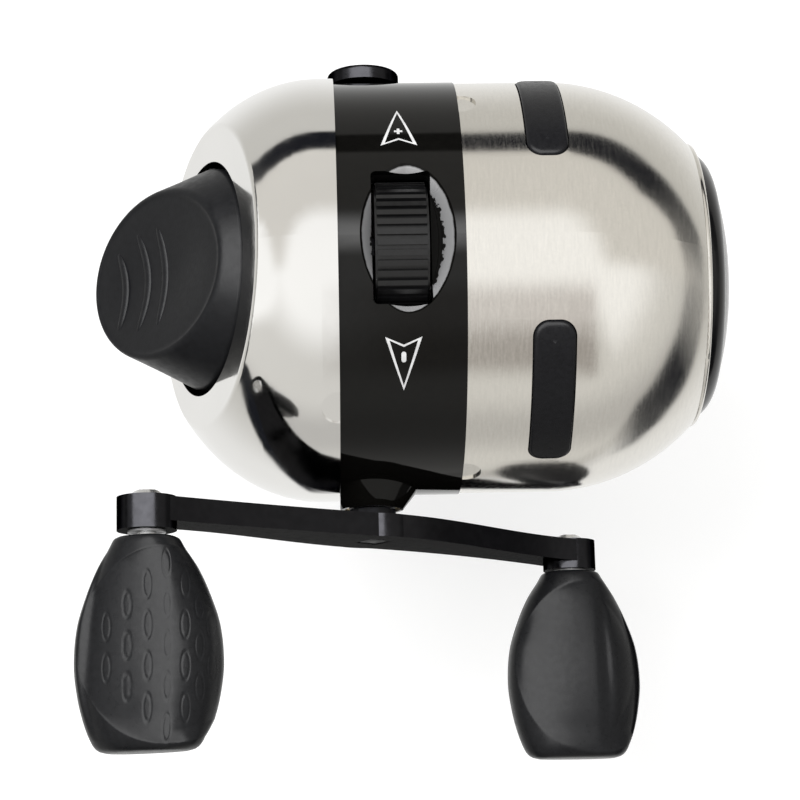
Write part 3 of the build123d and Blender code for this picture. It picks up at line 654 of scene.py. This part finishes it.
def rounded_outline(inset):
    """Points round a pad from its +V end, mirrored about its long axis."""
    a, b = PAD_HALF[0] - inset, PAD_HALF[1] - inset
    r = min(a, max(0.05, PAD_CORNER - inset))
    half = [(0.0, b)]
    half += [((a - r) * k / 3, b) for k in (1, 2)]
    half += [(a - r + r * sin(t), b - r + r * cos(t)) for t in corner_angles]
    half += [(a, (b - r) * (1 - k / 20)) for k in range(1, 40)]
    half += [(a - r + r * cos(t), -(b - r) - r * sin(t)) for t in corner_angles]
    half += [((a - r) * k / 3, -b) for k in (2, 1)]
    return half + [(0.0, -b)] + [(-u, v) for u, v in reversed(half[1:])]


def fill_mirrored(bm, row):
    """Faces across a row of vertices that is mirrored about its first one."""
    n = len(row)
    bm.faces.new((row[0], row[1], row[n - 1]))
    for i in range(1, n // 2 - 1):
        bm.faces.new((row[i], row[i + 1], row[n - i - 1], row[n - i]))
    bm.faces.new((row[n // 2 - 1], row[n // 2], row[n // 2 + 1]))


for number, angle in enumerate(PAD_ANGLES, start=1):
    t = radians(angle)
    out = Vector((0, sin(t), cos(t)))
    across = Vector((0, cos(t), -sin(t)))
    rows = []
    for inset, height in PAD_SECTION:
        r = COVER_R + height
        rows.append([AXIS + Vector((PAD_X + u, 0, 0)) + out * sqrt(r * r - v * v) + across * v
                     for u, v in rounded_outline(inset)])
    bm = bmesh.new()
    fill_mirrored(bm, rows_to_mesh(bm, rows, cap_start=False, cap_end=False)[-1])
    pad = piece(f"grip_pad_soft_{number}", bm, finish["pad_rubber"], "root")
    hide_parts(f"grip_pad_{number}")

# ---------------------------------------------------------------- floor

FLOOR_Z = -0.03
FLOOR_HALF = 3
bm = bmesh.new()
bm.faces.new([bm.verts.new((x * FLOOR_HALF, y * FLOOR_HALF, FLOOR_Z))
              for x, y in ((-1, -1), (1, -1), (1, 1), (-1, 1))])
floor_mesh = bpy.data.meshes.new("floor")
bm.to_mesh(floor_mesh)
bm.free()
floor = add_object("floor", floor_mesh)
floor_mat = Mat("floor_white", (0.6, 0.6, 0.6), 0.9,
                sockets={"Emission Color": WHITE, "Emission Strength": 0.5})
floor_mesh.materials.append(floor_mat.material)
floor.visible_glossy = False
floor.visible_diffuse = False

# ---------------------------------------------------------------- studio

CEILING = (1.14, 1.14, 1.13)
FAR_WALL = (0.78, 0.76, 0.72)
NEAR_WALL, NEAR_WALL_DIM = (0.77, 0.76, 0.73), (0.58, 0.57, 0.55)
SCREEN, SCREEN_DIM = (0.72, 0.69, 0.67), (0.42, 0.395, 0.37)
TABLE, TABLE_FAR = (0.95, 0.95, 0.94), (0.66, 0.65, 0.62)
GAP_BLACK = (0.012, 0.013, 0.017)
SOFT_LOW, SOFT_HIGH = (0.05, 0.05, 0.055), (1.05, 1.05, 1.04)

world = bpy.data.worlds.new("studio")
bpy.context.scene.world = world
world.use_nodes = True
sky = Tree(world.node_tree)
sky.tree.nodes.clear()
dx, dy, dz = sky.split(sky.node("ShaderNodeTexCoord").outputs["Generated"])
square = sky.math("ADD", sky.times(dx, dx), sky.math("ADD", sky.times(dy, dy), 1e-6))
elevation = sky.math("ARCTAN2", dz, sky.math("SQRT", square))
turn = sky.math("ADD", sky.math("DIVIDE", sky.math("ARCTAN2", dy, dx), 2 * pi), 0.5)

# The dark gap between table and wall: azimuth, middle and half height in degrees, darkness.
# A colour ramp round the horizon carries the last three in its red, green and blue
GAP = ((-180, 8, 5, 0.6), (-143, 3, 6, 1), (-120, -20, 14, 1), (-98, -48, 17, 1), (-86, -58, 10, 0.3),
       (-62, -34, 8, 0.1), (-50, -24, 15, 0.9), (-28, -13, 14, 1), (-13, -5, 10, 0.55),
       (3, 0, 8, 0.35), (18, 2, 9, 0.8), (40, 11, 11, 1), (68, 14, 9.5, 1), (90, 17, 6.5, 1),
       (122, 17, 6.5, 1), (150, 14, 6, 0.8), (180, 8, 5, 0.6))
GAP_SCALE = 30  # half height for a full green, in degrees
gap = sky.node("ShaderNodeValToRGB")
stops = gap.color_ramp.elements
while len(stops) < len(GAP):
    stops.new(0.5)
for stop, (azimuth, middle, half, darkness) in zip(stops, GAP):
    stop.position = azimuth / 360 + 0.5
    stop.color = (middle / 180 + 0.5, half / GAP_SCALE, darkness, 1.0)
sky.feed(gap.inputs["Fac"], turn)
channels = sky.node("ShaderNodeSeparateColor")
sky.feed(channels.inputs[0], gap.outputs["Color"])
red, green, blue = channels.outputs
gap_middle = sky.times(sky.math("SUBTRACT", red, 0.5), pi)
away = sky.math("DIVIDE", sky.offset(elevation, gap_middle), sky.times(green, radians(GAP_SCALE)))
dark = sky.times(sky.less_one(sky.step(away, 0.8, 1.2)), blue)
above = sky.step(sky.math("SUBTRACT", elevation, gap_middle), -0.02, 0.02)

# The walls are bright further down past both ends of the reel, and the near one is dim at eye level
nose_side = sky.times(sky.step(dx, 0.44, 0.56), 0.3)
button_side = sky.times(sky.less_one(sky.step(dx, -0.85, -0.5)), sky.step(dy, -0.55, -0.15), 0.8)
far_height = sky.math("ADD", elevation, button_side)
near_height = sky.math("ADD", far_height, nose_side)
eye_level = sky.less_one(sky.step(sky.offset(elevation, -0.14), 0.05, 0.45))
near_low = sky.mix(eye_level, NEAR_WALL, NEAR_WALL_DIM)
near_wall = sky.mix(sky.step(near_height, 0.6, 1.1), near_low, CEILING)
far_wall = sky.mix(sky.step(far_height, 0.95, 1.2), FAR_WALL, CEILING)
walls = sky.mix(sky.step(dy, -0.1, 0.1), near_wall, far_wall)

# A soft grey screen over the near side, and the table, which is darker far away
screen = sky.times(sky.step(dx, 0.0, 0.05), sky.less_one(sky.step(dx, 0.36, 0.44)),
                   sky.step(dy, -0.93, -0.8), sky.less_one(sky.step(dy, -0.35, -0.1)),
                   sky.step(dz, 0.3, 0.4))
walls = sky.mix(screen, walls, sky.mix(sky.step(dy, -0.72, -0.45), SCREEN_DIM, SCREEN))
table = sky.mix(sky.step(elevation, -0.9, -0.1), TABLE, TABLE_FAR)
studio = sky.mix(dark, sky.mix(above, table, walls), GAP_BLACK)

# Dull surfaces get soft light from above and from the far left instead; the background is white
path = sky.node("ShaderNodeLightPath").outputs
lean = sky.times(sky.math("SUBTRACT", dy, dx), 0.25)
soft = sky.mix(sky.step(sky.math("ADD", elevation, lean), -0.5, 1.0), SOFT_LOW, SOFT_HIGH)
lighting = sky.mix(path["Is Diffuse Ray"], studio, soft)
background = sky.node("ShaderNodeBackground")
sky.feed(background.inputs["Color"], sky.mix(path["Is Camera Ray"], lighting, WHITE))
sky.feed(sky.node("ShaderNodeOutputWorld").inputs["Surface"], background.outputs[0])

# ---------------------------------------------------------------- lights

REEL_CENTRE = Vector((0.0, -0.01, AXIS_Z))
DULL_PIECES = ("crank_knob", "thumb_", "grip_pad_soft", "crank_arm", "handle_cap")


def area(name, place, size, power, size_y=None):
    """A rectangular light that faces the reel."""
    data = bpy.data.lights.new(name, "AREA")
    data.shape = "RECTANGLE"
    data.size = size
    data.size_y = size_y or size
    data.energy = power
    o = add_object(name, data)
    o.location = place
    o.rotation_euler = (REEL_CENTRE - o.location).to_track_quat("-Z", "Y").to_euler()
    return o


def light_only(light, name, pieces):
    group = bpy.data.collections.new(name)
    for o in pieces:
        group.objects.link(o)
    light.light_linking.receiver_collection = group


for name, place, size, power in (("key", (-0.3, 0.15, 0.7), 0.4, 3.0),
                                 ("fill", (0.5, -0.3, 0.5), 0.5, 0.3)):
    area(name, place, size, power).visible_glossy = False

# A softbox that only the dull black pieces take light from
softbox = area("softbox", (-0.12, 0.12, 0.72), 0.9, 20.0)
meshes = [o for o in bpy.context.scene.objects if o.type == "MESH"]
light_only(softbox, "dull_pieces", [o for o in meshes if o.name.startswith(DULL_PIECES)])

# A soft glare across the glossy band on both sides of the drag wheel, fading at its edges
glare = area("glare", (0.0, 0.2, 0.72), 0.5, 3.2, size_y=0.34)
light_only(glare, "glossy_pieces", [nodes["main_body"]])
glare.data.use_nodes = True
beam = Tree(glare.data.node_tree)
fade = beam.node("ShaderNodeValToRGB")
fade.color_ramp.interpolation = "EASE"
for stop in fade.color_ramp.elements:
    stop.color = (0.0, 0.0, 0.0, 1.0)
fade.color_ramp.elements.new(0.5).color = (1.0, 1.0, 1.0, 1.0)
across_light = beam.split(beam.node("ShaderNodeNewGeometry").outputs["Parametric"])[1]
beam.feed(fade.inputs["Fac"], across_light)
beam.feed(beam.tree.nodes["Emission"].inputs["Strength"], fade.outputs["Color"])

# ---------------------------------------------------------------- camera

CAMERA_AT = (-0.0145, -0.0958, 0.4134)
CAMERA_RIGHT, CAMERA_UP = (0.9991, -0.0246, 0.0349), (0.017, 0.9785, 0.2055)
CAMERA_LENS = 107.37  # mm, on a 36 mm sensor

camera_data = bpy.data.cameras.new("camera")
camera_data.sensor_width = 36.0
camera_data.lens = CAMERA_LENS
camera_data.clip_start = 0.01
camera = add_object("camera", camera_data)
right = Vector(CAMERA_RIGHT).normalized()
back = right.cross(Vector(CAMERA_UP)).normalized()
aim = Matrix((right, back.cross(right), back)).transposed().to_4x4()
camera.matrix_world = Matrix.Translation(CAMERA_AT) @ aim
bpy.context.scene.camera = camera
bpy.context.scene.view_settings.view_transform = "Standard"
